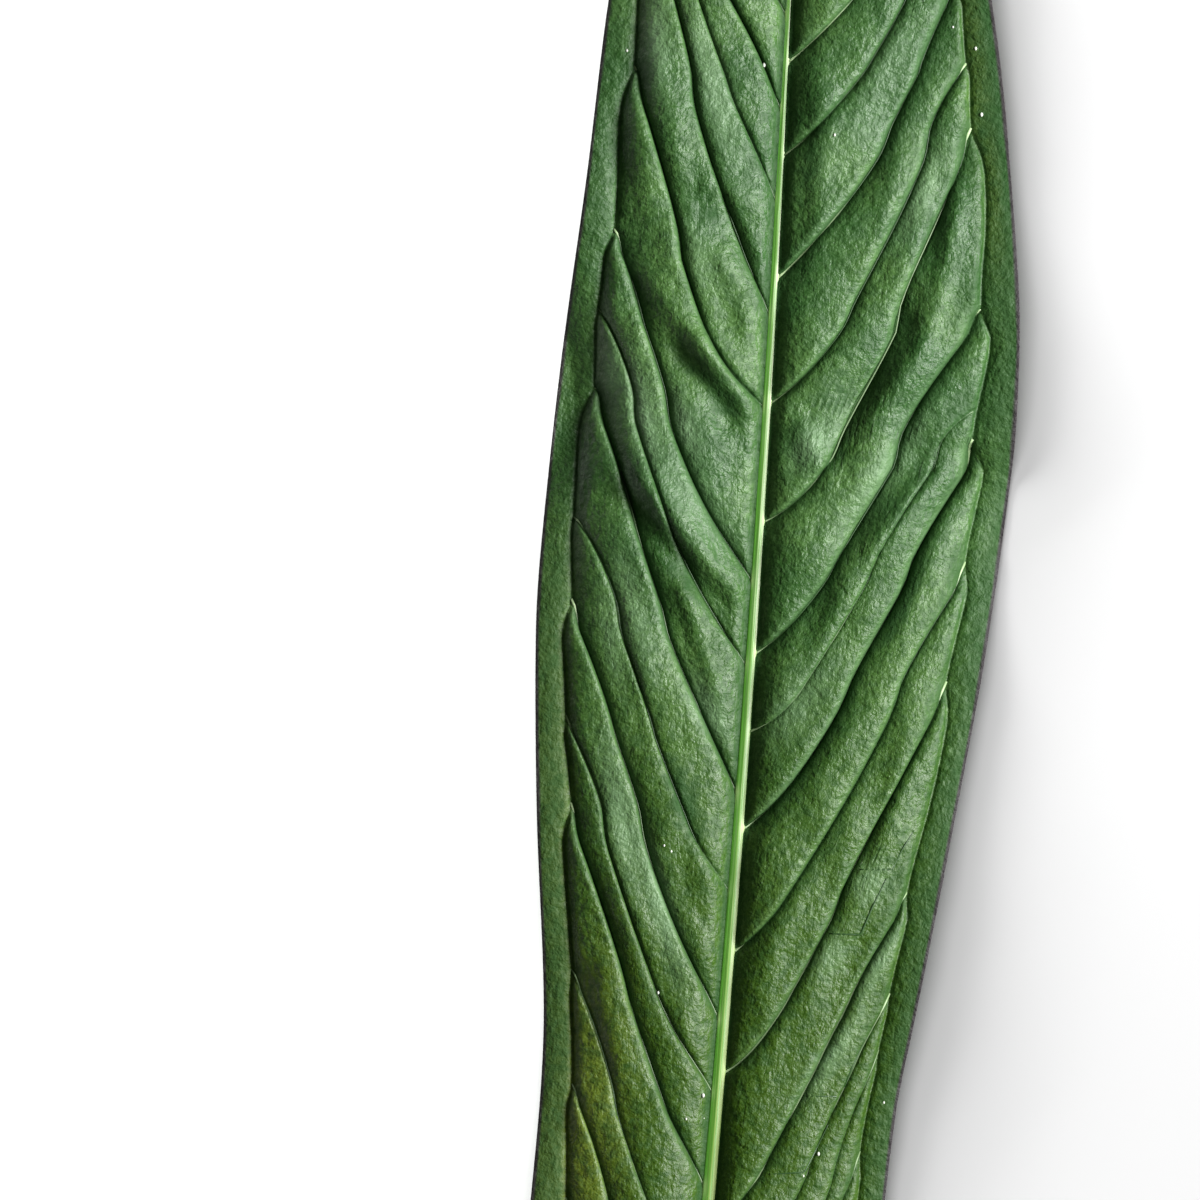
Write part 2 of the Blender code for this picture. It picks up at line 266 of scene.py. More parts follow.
def along(station):
    """A station's place along Y, with the whole leaf centred on the origin."""
    return station - (BLADE_LENGTH - PETIOLE_LENGTH) / 2


def midrib_height(station):
    """Height of the blade's underside beside the midrib."""
    rise = 1 - np.exp(-(BLADE_LENGTH - station) / HEIGHT_REACH)
    return TIP_HEIGHT + (MID_HEIGHT - TIP_HEIGHT) * rise


def midrib_half(station):
    """Half the midrib's width."""
    share = station / MIDRIB_END
    return MIDRIB_HALF_AT_BASE + (MIDRIB_HALF_AT_END - MIDRIB_HALF_AT_BASE) * share


def edge_height(station, side):
    """Height of the underside along the waved edge, below zero where it is to rest."""
    wave = EDGE_WAVE * np.sin(2 * np.pi * station / EDGE_WAVE_LENGTH + side)
    rest = RIGHT_REST if side > 0 else LEFT_REST
    dip = REST_DIP * hump(station - rest, REST_SPREAD)
    return EDGE_HEIGHT + wave - dip


def collective_inset(station, veins, half):
    """Distance from the edge to the collective vein, which scallops in at each side vein's end."""
    scallop = np.zeros_like(station)
    for _, end, depth, _, _ in veins:
        gap = station - end
        reach = np.where(gap > 0, SCALLOP_ABOVE, SCALLOP_BELOW)
        scallop = np.maximum(scallop, depth * hump(gap, reach))
    return np.minimum(COLLECTIVE_INSET + SCALLOP * scallop, INSET_SHARE * half)


def lines_across(side, station):
    """Distances from the middle to the slit's side, the collective vein and the edge."""
    veins, edge, _ = HALVES[side]
    half = smooth_values(edge, station)
    slit = np.minimum(midrib_half(station) + SLIT_CLEARANCE, SLIT_SHARE * half)
    vein = half - collective_inset(station, veins, half)
    return slit, np.maximum(vein, (slit + half) / 2), half


def shoulder(distance, width):
    """Rises evenly from 0 and turns level at 1."""
    share = np.maximum(distance, 0.0) / width
    return share / (1 + share**SHOULDER_SHARPNESS) ** (1 / SHOULDER_SHARPNESS)


def slope(distance, width):
    """Rises steeply from 0 and eases off slowly towards 1."""
    return 1 - np.exp(-np.maximum(distance, 0.0) / width)


def pucker(xs, ys, size, seed):
    """Gentle, repeatable unevenness from -1 to 1 with lumps of about a size."""
    return np.array([noise.noise(Vector((x / size, y / size, seed))) for x, y in zip(xs, ys)])


def row_shares(gap):
    """Shares of the way across a strip at which its rows lie."""
    if gap < SHORT_STRIP:
        return SHORT_STRIP_ROWS
    first, last = ROWS_PAST_VEIN[-1], gap - ROWS_BEFORE_VEIN[0]
    between = np.linspace(first, last, math.ceil((last - first) / ROW_STEP) + 1)[1:-1]
    rows = (*ROWS_PAST_VEIN, *between, *(gap - distance for distance in ROWS_BEFORE_VEIN))
    return [row / gap for row in rows]


def strip_rows(side):
    """The grid's rows: root, end, bow, swing, share, depths of both veins, slope's width and number."""
    veins = HALVES[side][0]
    closing = CLOSING_STATIONS[0]
    starts = [(0.0, 0.0, 0.6, 0.0, 0.0), *veins, (closing, closing, 0.6, 0.0, 0.0)]
    rows = []
    for number, (vein, after) in enumerate(zip(starts, starts[1:])):
        width = SLOPES[side].get(vein[0] if side < 0 else after[0], SLOPE_WIDTH)
        for share in row_shares(after[0] - vein[0]):
            root, end, _, bow, swing = (low + (high - low) * share for low, high in zip(vein, after))
            rows.append((root, end, bow, swing, share, vein[2], after[2], width, number))
    number += 1
    rows.extend((station, station, 0.0, 0.0, 0.5, 0.6, 0.6, 2.0, number) for station in CLOSING_STATIONS)
    return np.array(rows)


def blade_surface(side, rows, columns):
    """Everything the blade's upper face needs, as arrays with a line for each row of the grid."""
    values = (line[:, None] for line in rows.T)
    root, end, bow, swing, share, depth_below, depth_above, steep, number = values
    column = np.array(columns)[None, :]
    inner = np.minimum(column, 1.0)
    run = sum(factor * inner ** (power + 1) for power, factor in enumerate(HALVES[side][2]))
    run = run - bow * np.sin(np.pi * inner) - swing * np.sin(2 * np.pi * inner)
    run = run + OUTER_RUN * np.maximum(column - 1.0, 0.0)
    station = np.minimum(root + (end - root) * run, BLADE_LENGTH)
    slit, vein, half = lines_across(side, station)
    start = np.where(station >= CLOSING_STATIONS[0], 0.0, BLADE_START * slit)
    out = np.where(column <= 1, start + (vein - start) * inner, vein + (half - vein) * (column - 1))

    # Width of each strip, square to its veins
    turn = np.hypot(np.gradient(out, axis=1), np.gradient(station, axis=1))
    level = np.gradient(out, axis=1) / np.maximum(turn, 1e-6)
    gaps = np.zeros_like(station)
    for strip in np.unique(number):
        lines = np.nonzero(number[:, 0] == strip)[0]
        below = station[lines[0]]
        above = station[min(lines[-1] + 1, len(rows) - 1)]
        gaps[lines] = np.maximum(above - below, 1.0)
    width = gaps * np.clip(level, 0.2, 1.0)
    from_below = width * share
    from_above = width * (1 - share)

    # The strips stand up between their veins
    if side < 0:
        low_rise, high_rise = slope(from_below, steep), shoulder(from_above, LIP_WIDTH)
    else:
        low_rise, high_rise = shoulder(from_below, LIP_WIDTH), slope(from_above, steep)
    rise = (1 - depth_below * (1 - low_rise)) * (1 - depth_above * (1 - high_rise))
    rise = rise * shoulder(out - slit * 0.9, MIDRIB_SHOULDER)
    rise = rise * shoulder(vein - out, COLLECTIVE_SHOULDERS[side])
    # Darkness for painted shade: a thin line in each vein's crease, and a band down the long slope beside the
    # vein; the lip on the other side gets painted sheen
    crease = depth_below * hump(from_below, CREASE_HALF) + depth_above * hump(from_above, CREASE_HALF)
    depth, gap = (depth_below, from_below) if side < 0 else (depth_above, from_above)
    slow = SLOW_BANDS[side]
    band = depth * (slow * np.exp(-gap / (0.6 + 0.5 * steep)) + (1 - slow) * hump(gap, 0.9))
    depth, gap = (depth_above, from_above) if side < 0 else (depth_below, from_below)
    lip = depth * hump(gap - 0.5, 0.8)
    within = np.where(column < 1, 1.0, 0.0)
    margin = np.where(column > 1, np.sin(np.pi * np.clip(column - 1, 0, 1)) ** 0.8, 0.0)
    groove = hump(out - vein, COLLECTIVE_HALF)
    x = midrib_x(station) + side * out
    return {
        "station": station, "out": out, "slit": slit, "vein": vein, "half": half, "x": x,
        "rise": rise * within, "crease": crease * within, "band": band * within,
        "lip": lip * within, "inner": inner + 0 * station,
        "margin": margin, "groove": groove, "share": share + 0 * station,
        "number": number + 0 * station,
    }


def blade_height(side, face, relief):
    """Height of the blade's upper face, in millimetres."""
    station, out, half = face["station"], face["out"], face["half"]
    size = np.minimum(1.0, half / FULL_HALF_WIDTH)
    opened = ease((station - VALLEY_OPENS) / VALLEY_OPENING) if side < 0 else 0.0
    width = VALLEY_WIDTHS[side] + VALLEY_WIDENS * opened
    lifted = LEFT_LIFT * opened * (1 - LEFT_LIFT_LOST * ease((station - LEFT_LIFT_ENDS) / 30))
    valley = (VALLEY_RISE + lifted) * size * (1 - hump(out, width))
    top = midrib_height(station) + valley
    fall = (top - edge_height(station, side)) * (out / half) ** EDGE_FALL_POWER
    bulge = relief * face["rise"] + EDGE_STRIP_RISE * face["margin"]
    bulge = bulge - COLLECTIVE_GROOVE * face["groove"] - CREASE_DEPTH * face["crease"]
    bulge = bulge + EDGE_LIFTS[side] * np.maximum(out - face["vein"], 0.0)
    return top - fall + CAD_THICKNESS + size * bulge


def feed(tree, socket, value):
    """Link a socket, or give it a plain value."""
    if isinstance(value, bpy.types.NodeSocket):
        tree.links.new(value, socket)
    else:
        socket.default_value = value


def node(tree, kind, inputs=None, **settings):
    """A shader node with its settings, and a value or a link for each named or numbered input."""
    made = tree.nodes.new(kind)
    place = len(tree.nodes)
    made.location = (NODE_GAP * (place % NODES_IN_ROW - NODES_IN_ROW), -NODE_GAP * (place // NODES_IN_ROW))
    for name, value in settings.items():
        setattr(made, name, value)
    for socket, value in (inputs or {}).items():
        feed(tree, made.inputs[socket], value)
    return made


def maths(tree, operation, first, second):
    """A Math node on two values or sockets."""
    return node(tree, "ShaderNodeMath", {0: first, 1: second}, operation=operation).outputs[0]


def remap(tree, value, low, high, to_low=0.0, to_high=1.0):
    """A value taken smoothly from one range to another."""
    ends = {0: value, 1: low, 2: high, 3: to_low, 4: to_high}
    return node(tree, "ShaderNodeMapRange", ends, interpolation_type="SMOOTHSTEP").outputs[0]


def layered(tree, colour, layers):
    """A colour with others laid over it in turn, each by its share."""
    for share, over in layers:
        sockets = {0: share, 6: colour, 7: over}
        colour = node(tree, "ShaderNodeMix", sockets, data_type="RGBA").outputs[2]
    return colour


def weighted_sum(tree, parts):
    """Sockets added up by their weights."""
    total = None
    for value, weight in parts:
        part = maths(tree, "MULTIPLY", value, weight)
        total = part if total is None else maths(tree, "ADD", total, part)
    return total


def attribute(tree, name):
    """The value of a point attribute."""
    return node(tree, "ShaderNodeAttribute", attribute_name=name).outputs["Fac"]


def noise_share(tree, place, scale, detail=2.0, roughness=0.5):
    """A noise pattern from 0 to 1."""
    inputs = {"Vector": place, "Scale": scale, "Detail": detail, "Roughness": roughness}
    return node(tree, "ShaderNodeTexNoise", inputs).outputs["Fac"]


def cell_edges(tree, place, scale=1.0):
    """Distance to the nearest edge in a flat pattern of cells."""
    kind = {"feature": "DISTANCE_TO_EDGE", "voronoi_dimensions": "2D"}
    return node(tree, "ShaderNodeTexVoronoi", {"Vector": place, "Scale": scale}, **kind).outputs["Distance"]


def scaled(tree, place, scale):
    """Coordinates times a scale on each axis."""
    return node(tree, "ShaderNodeMapping", {"Vector": place, "Scale": scale}).outputs[0]


def object_place(tree):
    """Object coordinates in metres."""
    return node(tree, "ShaderNodeTexCoord").outputs["Object"]


def millimetres(tree):
    """Object coordinates in millimetres."""
    return scaled(tree, object_place(tree), (1 / MM,) * 3)


def new_material(name):
    """A material with its node tree and its shader."""
    material = bpy.data.materials.new(name)
    material.use_nodes = True
    tree = material.node_tree
    return material, tree, tree.nodes["Principled BSDF"]


def dress(tree, shader, colour, roughness, height=None, depth=0.0):
    """Give a shader its colour, its roughness and a bump of some depth in metres."""
    feed(tree, shader.inputs["Base Color"], colour)
    feed(tree, shader.inputs["Roughness"], roughness)
    if height is not None:
        bump = node(tree, "ShaderNodeBump", {"Strength": 1.0, "Distance": depth, "Height": height})
        feed(tree, shader.inputs["Normal"], bump.outputs[0])


def blade_finish(settings):
    """The leathery upper face: deep green, waxy, with a raised net of small veins, and with painted shade and
    painted sheen in its colour.
    """
    material, tree, shader = new_material("leaf_green")
    place = millimetres(tree)

    # Coordinates pushed about a little, so that no cell is straight
    push = node(tree, "ShaderNodeTexNoise", {"Vector": place, "Scale": 0.5, "Detail": 2.0}).outputs["Color"]
    centred = node(tree, "ShaderNodeVectorMath", {0: push, 1: (0.5,) * 3}, operation="SUBTRACT").outputs[0]
    by = {0: centred, 1: (NET_PUSH,) * 3, 2: place}
    pushed = node(tree, "ShaderNodeVectorMath", by, operation="MULTIPLY_ADD").outputs[0]

    # The net, the cross veins laid out on the strips, and unevenness in several sizes
    cells = remap(tree, cell_edges(tree, pushed, 1 / settings.net_size), 0.0, 0.38)
    strips = node(tree, "ShaderNodeUVMap", uv_map="strips").outputs[0]
    crossing = remap(tree, cell_edges(tree, scaled(tree, strips, CROSS_VEIN_SCALE)), 0.0, 0.09)
    wrinkles = node(
        tree, "ShaderNodeTexNoise",
        {"Vector": place, "Scale": 0.3, "Detail": 2.0, "Roughness": 0.5, "Distortion": 0.5},
        noise_type="RIDGED_MULTIFRACTAL",
    ).outputs["Fac"]
    fine = noise_share(tree, place, 0.9, 3.0, 0.6)
    lumps = noise_share(tree, place, 0.4, 3.0)

    # Crumples with uneven edges, as shallow dents with painted shade in them
    ragged = maths(tree, "SUBTRACT", noise_share(tree, place, 0.4), 0.5)
    edge = maths(tree, "ADD", maths(tree, "MULTIPLY", ragged, 0.7), attribute(tree, "crumple_shade"))
    edge = remap(tree, edge, 0.2, 0.75, 0.0, 0.85)
    parts = ((cells, 0.35), (wrinkles, -2.6), (fine, 3.6), (crossing, 0.25), (lumps, 7.5), (edge, -2.5))
    height = weighted_sum(tree, parts)

    broad = noise_share(tree, place, 0.045, 3.0)
    mottle = noise_share(tree, place, 1.1, 3.0, 0.7)
    blotch = noise_share(tree, place, 0.42, 2.0, 0.6)
    shade = attribute(tree, "shade")
    pale = maths(tree, "MULTIPLY", maths(tree, "SUBTRACT", 1.0, crossing), 0.03)
    colour = layered(tree, settings.dark_green, (
        (remap(tree, broad, 0.35, 0.68), settings.mid_green),
        # Yellower, darker green towards the stalk: the leaf's own tone, with painted shade for the weaker
        # light there
        (attribute(tree, "warm"), settings.low_green_and_shade),
        (attribute(tree, "olive"), settings.olive_green),
        (remap(tree, mottle, 0.3, 0.56, 0.55, 0.0), settings.shade_and_mottle_green),
        (remap(tree, mottle, 0.5, 0.74, 0.0, 0.5), settings.vein_green),
        (remap(tree, blotch, 0.34, 0.58, 0.5, 0.0), settings.shade_and_mottle_green),
        # Painted sheen in its places and along the lips
        (attribute(tree, "sheen"), settings.sheen_green),
        # Painted shade in the grooves, down the veins' slopes, beside the midrib, on the margins and at the
        # right strips' low ends
        (shade, settings.shade_and_mottle_green),
        # Painted shade in the crumples
        (edge, settings.shade_and_mottle_green),
        (pale, settings.vein_green),
        (attribute(tree, "rim"), settings.rim_brown),
    ))
    rough = remap(tree, blotch, 0.3, 0.7, settings.gloss + 0.08, settings.gloss - 0.08)
    duller = maths(tree, "MULTIPLY", maths(tree, "MAXIMUM", shade, edge), 0.3)
    dress(tree, shader, colour, maths(tree, "ADD", rough, duller), height, 0.00009)
    shader.inputs["Specular IOR Level"].default_value = 0.38
    return material


def underside_finish(settings):
    """The paler, duller lower face."""
    material, tree, shader = new_material("leaf_underside")
    place = millimetres(tree)
    cells = remap(tree, cell_edges(tree, place, 1 / (1.4 * settings.net_size)), 0.0, 0.3, 1.0, 0.0)
    colour = layered(tree, settings.under_green, (
        (noise_share(tree, place, 0.08, 3.0), settings.under_pale),
        (maths(tree, "MULTIPLY", cells, 0.35), settings.vein_green),
    ))
    dress(tree, shader, colour, 0.58, cells, 0.00009)
    return material


def rib_finish(settings):
    """The pale, faintly streaked midrib and stalk."""
    material, tree, shader = new_material("rib_green")
    place = millimetres(tree)
    streaks = noise_share(tree, scaled(tree, place, STREAK_SCALE), 1.0, 3.0)
    colour = layered(tree, settings.rib_green, (
        (remap(tree, streaks, 0.4, 0.6), settings.rib_pale),
        (maths(tree, "MULTIPLY", attribute(tree, "warm"), 0.85), settings.rib_low),
        # Greener flanks, with painted shade on the rib's left side
        (attribute(tree, "flank"), settings.flank_and_shade_green),
        (attribute(tree, "pale"), settings.joint_pale),
        (attribute(tree, "cut"), settings.cut_brown),
    ))
    dress(tree, shader, colour, 0.4, streaks, 0.0001)
    return material


def thread_finish(settings):
    """Side veins: the blade's green, paling at their ends in a painted highlight."""
    material, tree, shader = new_material("side_vein_green")
    colour = layered(tree, settings.thread_green, ((attribute(tree, "pale"), settings.thread_pale_and_highlight),))
    dress(tree, shader, colour, 0.42)
    return material


def speck_finish(settings):
    """Chalky specks on the upper face."""
    material, tree, shader = new_material("lime_white")
    place = millimetres(tree)
    colour = layered(tree, settings.speck_grey, ((noise_share(tree, place, 4.0), settings.speck_white),))
    dress(tree, shader, colour, 0.8)
    return material


def object_from(mesh, name, materials):
    """A named object made from a bmesh, on the scene's own collection."""
    data = bpy.data.meshes.new(name)
    mesh.to_mesh(data)
    mesh.free()
    for material in materials:
        data.materials.append(material)
    data.shade_smooth()
    made = bpy.data.objects.new(name, data)
    bpy.context.scene.collection.objects.link(made)
    return made


def claim(piece, node_name):
    """Tie a piece to the part: it rides on the body, and may stand for one of its solids."""
    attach(piece, "root")
    if node_name:
        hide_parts(node_name)


def picture_place(column, row):
    """Where a pixel of the picture lies on the leaf, in millimetres."""
    scale = VIEW_WIDTH / PICTURE
    right, up = (column - PICTURE / 2) * scale, (PICTURE / 2 - row) * scale
    turn = math.radians(VIEW_TURN)
    x = VIEW_X + right * math.cos(turn) - up * math.sin(turn)
    y = VIEW_Y + right * math.sin(turn) + up * math.cos(turn)
    return x, y


# Folds, as (first column and row, last column and row, width, rise) in the picture's pixels and in
# millimetres: the surface is higher on the right of the line than on its left
FOLDS = (
    (738, 412, 690, 352, 2.9, 1.8), (686, 346, 640, 286, 2.8, 0.9), (806, 462, 794, 424, 2.4, 0.5),
    (728, 598, 628, 486, 2.8, 1.9), (712, 700, 676, 588, 1.8, 0.6), (748, 212, 700, 190, 1.8, 0.7),
    (760, 262, 728, 214, 2.0, 0.8), (742, 330, 716, 268, 2.2, 0.7), (838, 470, 800, 418, 2.0, -0.9),
    (866, 410, 914, 336, 3.2, 1.6), (868, 536, 926, 474, 3.0, 1.5), (940, 262, 948, 190, 2.0, 0.9),
    (806, 240, 812, 96, 2.6, 0.5), (872, 270, 898, 206, 2.4, -0.7), (660, 980, 612, 820, 3.0, -0.6),
    (870, 860, 900, 730, 2.4, 0.6), (716, 570, 632, 372, 6.0, -0.6), (690, 170, 668, 60, 2.6, -0.5),
    (640, 220, 626, 120, 2.6, 0.5), (850, 690, 880, 620, 2.6, -0.6), (812, 640, 838, 588, 2.4, 0.6),
    (880, 170, 902, 100, 2.8, 0.6), (936, 330, 950, 290, 2.0, -0.7), (640, 700, 622, 610, 2.4, 0.5),
    (716, 930, 690, 850, 2.4, 0.5), (846, 1010, 866, 950, 2.2, 0.5), (780, 960, 800, 900, 2.4, -0.5),
    (612, 1080, 594, 980, 2.6, 0.5),
)

# Creases, as (first column and row, last column and row, width on the right, width on the left, depth)
CREASES = (
    (905, 412, 796, 416, 4.4, 2.8, 1.6), (862, 868, 892, 868, 2.0, 2.6, 0.6),
    (826, 862, 834, 936, 2.0, 2.2, 0.5), (800, 1100, 838, 1094, 2.2, 2.6, 0.6),
    (764, 1176, 806, 1170, 2.2, 2.6, 0.6), (700, 224, 752, 232, 2.2, 2.6, 0.8),
    (846, 300, 884, 268, 2.2, 2.4, 0.5), (906, 236, 944, 244, 2.2, 2.4, 0.5),
)

# How far a fold fades past its ends, against its width, and a crease in millimetres
FOLD_FADE = 1.3
CREASE_FADE = 2.0

# Places of painted shade, as (column, row, half its length, half its breadth in millimetres, turn, share)
SHADES = (
    (800, 60, 16, 3.0, 1.5, 0.7), (808, 165, 14, 4.2, 1.3, 0.65), (792, 290, 10, 3.6, 1.45, 0.5),
    (846, 384, 12, 4.0, 0.1, 0.55), (892, 508, 6.5, 4.5, 0.8, 0.6), (706, 374, 11, 3.6, -0.8, 0.6),
    (690, 578, 9, 4.0, -0.7, 0.6), (728, 1070, 5, 3.0, 1.4, 0.5), (788, 430, 5.5, 2.4, 1.4, 0.5),
    (726, 402, 6.0, 3.0, -0.7, 0.7), (930, 232, 5, 3.0, 1.2, 0.5), (905, 345, 6, 3.0, 0.9, 0.4),
    (684, 800, 12, 4.0, -1.2, 0.75), (552, 700, 34, 3.0, 1.5, 0.3), (832, 405, 6.5, 1.6, 0.15, 0.7),
    (892, 400, 6.5, 3.0, -0.2, 0.6), (843, 452, 9.0, 1.9, 0.98, 0.7), (906, 600, 15, 2.2, 1.18, 0.8),
    (748, 170, 9.0, 2.5, 1.35, 0.42), (742, 285, 9.0, 2.5, 1.3, 0.42), (738, 352, 6.0, 2.5, -1.0, 0.42),
    (880, 857, 3.0, 1.4, 0.1, 0.6), (764, 238, 3.4, 1.9, 1.5, 0.75), (713, 215, 2.6, 1.5, 0.1, 0.8),
    (735, 278, 2.4, 1.6, -0.8, 0.65), (656, 218, 2.2, 1.4, 0.1, 0.5), (764, 165, 4.5, 1.8, 1.4, 0.6),
    (745, 345, 4.0, 2.0, -1.0, 0.4), (640, 960, 24, 2.0, -1.2, 0.4), (985, 130, 9.0, 3.0, 1.55, 0.6),
    (950, 215, 3.0, 2.0, 0.6, 0.6), (912, 515, 5.0, 3.0, 1.1, 0.5), (862, 860, 4.0, 1.6, 0.1, 0.4),
    (836, 925, 5.0, 1.6, 1.1, 0.4),
)

# Places of painted sheen, a lighter green, in the same way
SHEEN_PLACES = (
    (690, 495, 16, 5.0, -0.95, 0.35), (642, 412, 12, 3.4, -1.25, 0.7), (612, 376, 10, 2.6, -1.45, 0.5),
    (816, 441, 6.0, 3.0, 0.9, 0.7), (659, 900, 16, 2.4, -1.2, 0.7), (684, 425, 8.0, 2.4, -1.1, 0.7),
    (622, 815, 14, 3.0, -1.3, 0.6), (657, 40, 10, 2.6, -1.5, 0.7), (715, 90, 16, 3.0, -1.2, 0.6),
    (708, 712, 8.0, 3.0, -1.0, 0.7), (892, 60, 10, 4.0, 1.1, 0.25), (922, 190, 10, 2.6, 1.2, 0.6),
    (878, 962, 8.0, 2.0, 1.1, 0.6), (829, 1058, 10, 2.4, 1.0, 0.6), (884, 470, 12, 3.0, 1.0, 0.6),
    (634, 610, 12, 2.6, -1.25, 0.4), (860, 130, 12, 3.6, 1.0, 0.2), (700, 260, 8.0, 3.6, -1.1, 0.3),
    (800, 700, 10, 4.0, 0.9, 0.3), (871, 884, 3.0, 3.0, 0.1, 0.7), (830, 955, 4.0, 3.0, 1.0, 0.5),
    (612, 640, 10, 2.0, -1.3, 0.3),
)


def beside(x, y, first, last):
    """Distances to the right of a line of the picture, and past either of its ends."""
    start = np.array(picture_place(*first))
    ahead = np.array(picture_place(*last)) - start
    length = np.linalg.norm(ahead)
    ahead = ahead / length
    along_line = (x - start[0]) * ahead[0] + (y - start[1]) * ahead[1]
    right = (x - start[0]) * ahead[1] - (y - start[1]) * ahead[0]
    return right, np.maximum(np.maximum(-along_line, along_line - length), 0.0)


def folds_at(x, y):
    """Height that the folds and creases add to the upper face."""
    z = np.zeros_like(x)
    for *line, width, rise in FOLDS:
        right, past = beside(x, y, line[:2], line[2:])
        away = right / width
        z = z + rise * away * np.exp(0.5 - away**2 / 2) * hump(past, FOLD_FADE * width)
    for *line, wide_right, wide_left, depth in CREASES:
        right, past = beside(x, y, line[:2], line[2:])
        away = np.abs(right) / np.where(right > 0, wide_right, wide_left)
        z = z - depth * np.exp(-(away**1.5)) * hump(past, CREASE_FADE)
    return z


def places_at(x, y, places):
    """Share of a list's colour at each point, from its soft oval places."""
    share = np.zeros_like(x)
    for column, row, length, breadth, turn, amount in places:
        across, up = picture_place(column, row)
        first = (x - across) * math.cos(turn) + (y - up) * math.sin(turn)
        second = (y - up) * math.cos(turn) - (x - across) * math.sin(turn)
        share = np.maximum(share, amount * np.exp(-((first / length) ** 2) - (second / breadth) ** 2))
    return share


# What each vertex of the blade holds: shares of the colours, painted shade and painted sheen among them, and
# its place in the strips' pattern
BLADE_SHARES = ("shade", "olive", "warm", "sheen", "crumple_shade", "rim", "u", "v")


def place_half(mesh, side, settings, layers):
    """One half of the blade's upper face, as a grid whose rows follow the side veins."""
    rows = strip_rows(side)
    face = blade_surface(side, rows, COLUMNS)
    z = blade_height(side, face, settings.relief / MM)
    flat_x, flat_y = face["x"].ravel(), face["station"].ravel()
    slack = np.clip((face["out"] - face["slit"]) / 4, 0, 1) * np.clip(face["half"] / 20, 0, 1)
    large, small, billow = (
        rise * pucker(flat_x, flat_y, size, seed).reshape(z.shape) for rise, size, seed in PUCKERS
    )
    z = z + ((large + small) * (0.25 + 0.75 * face["rise"]) + billow) * slack
    station, y = face["station"], along(face["station"])
    z = z + folds_at(face["x"], y) * slack
    z = np.maximum(z, settings.thickness / MM)

    # How far a strip's pattern runs along its vein, in tenths of a metre
    run = np.cumsum(np.hypot(np.gradient(face["out"], axis=1), np.gradient(station, axis=1)), axis=1) / 100

    # Shares of the colours: painted shade in the grooves, down the veins' slopes and beside the midrib, other
    # greens low and outside
    column = np.array(COLUMNS)[None, :]
    amount, reach = MIDRIB_SHADES[side]
    gap = np.maximum(face["out"] - face["slit"], 0.0)
    shade = 0.8 * np.clip(np.maximum(face["crease"], face["band"]), 0, 1)
    shade = np.maximum(shade, amount * hump(gap, reach))
    outside = ease((column - 0.9) / 0.3)
    if side < 0:
        olive = ease((262 - station) / 60) * ease((face["out"] - 12) / 20)
        olive = np.maximum(olive, 0.7 * outside * ease((350 - station) / 60))
        margin = 0.3 + 0.45 * ease((345 - station) / 30)
    else:
        olive = 0.5 * outside * ease((station - 385) / 30)
        margin = 0.35 + 0.4 * ease((column - 1.3) / 0.5) + 0.25 * ease((station - 385) / 30)
        # Painted shade at the low ends of the right strips, short of the collective vein
        low_end = ease((face["inner"] - 0.78) / 0.12) * ease((0.45 - face["share"]) / 0.3)
        shade = np.maximum(shade, 0.4 * low_end * (column < 1))
    # Painted shade on the margins
    shade = np.maximum(shade, np.clip(face["margin"] * 1.4 + (column > 1.5), 0, 1) * margin)
    shares = {
        # The warm share: yellower, darker green towards the stalk, the leaf's own tone with painted shade for
        # weaker light
        "shade": shade, "olive": olive, "warm": ease((360 - station) / 150),
        # Painted sheen in its places, and a little along the lips
        "sheen": np.maximum(places_at(face["x"], y, SHEEN_PLACES), 0.18 * face["lip"]) * slack,
        # Painted shade in the crumples, from the places of painted shade
        "crumple_shade": places_at(face["x"], y, SHADES) * slack,
        "rim": ease((column - 1.87) / 0.06) + 0 * station,
        "u": face["number"] + face["share"] + 40 * (side > 0), "v": run,
    }

    across, up = len(COLUMNS) - 1, len(rows) - 1
    made = bmesh.ops.create_grid(mesh, x_segments=across, y_segments=up, size=0.5)
    for vert in made["verts"]:
        i = round((vert.co.y + 0.5) * up)
        j = round((vert.co.x + 0.5) * across)
        if side < 0:
            j = across - j
        vert.co = (face["x"][i, j] * MM, y[i, j] * MM, z[i, j] * MM)
        for name, values in shares.items():
            vert[layers[name]] = float(values[i, j])


def build_blade(settings):
    """The blade as one closed body with its relief on both faces."""
    mesh = bmesh.new()
    layers = {name: mesh.verts.layers.float.new(name) for name in BLADE_SHARES}
    for side in (-1, 1):
        place_half(mesh, side, settings, layers)
    seam = [vert for vert in mesh.verts if vert.co.y >= (along(CLOSING_STATIONS[0]) - 0.01) * MM]
    bmesh.ops.remove_doubles(mesh, verts=seam, dist=0.00001)
    uv = mesh.loops.layers.uv.new("strips")
    for face in mesh.faces:
        for loop in face.loops:
            loop[uv].uv = (loop.vert[layers["u"]], loop.vert[layers["v"]])
    for name in ("u", "v"):
        mesh.verts.layers.float.remove(mesh.verts.layers.float[name])
    blade = object_from(mesh, "leaf_blade", [blade_finish(settings), underside_finish(settings)])
    solid = blade.modifiers.new("thickness", "SOLIDIFY")
    solid.thickness = settings.thickness
    solid.offset = -1.0
    solid.material_offset = 1
    solid.material_offset_rim = 0
    claim(blade, "blade")


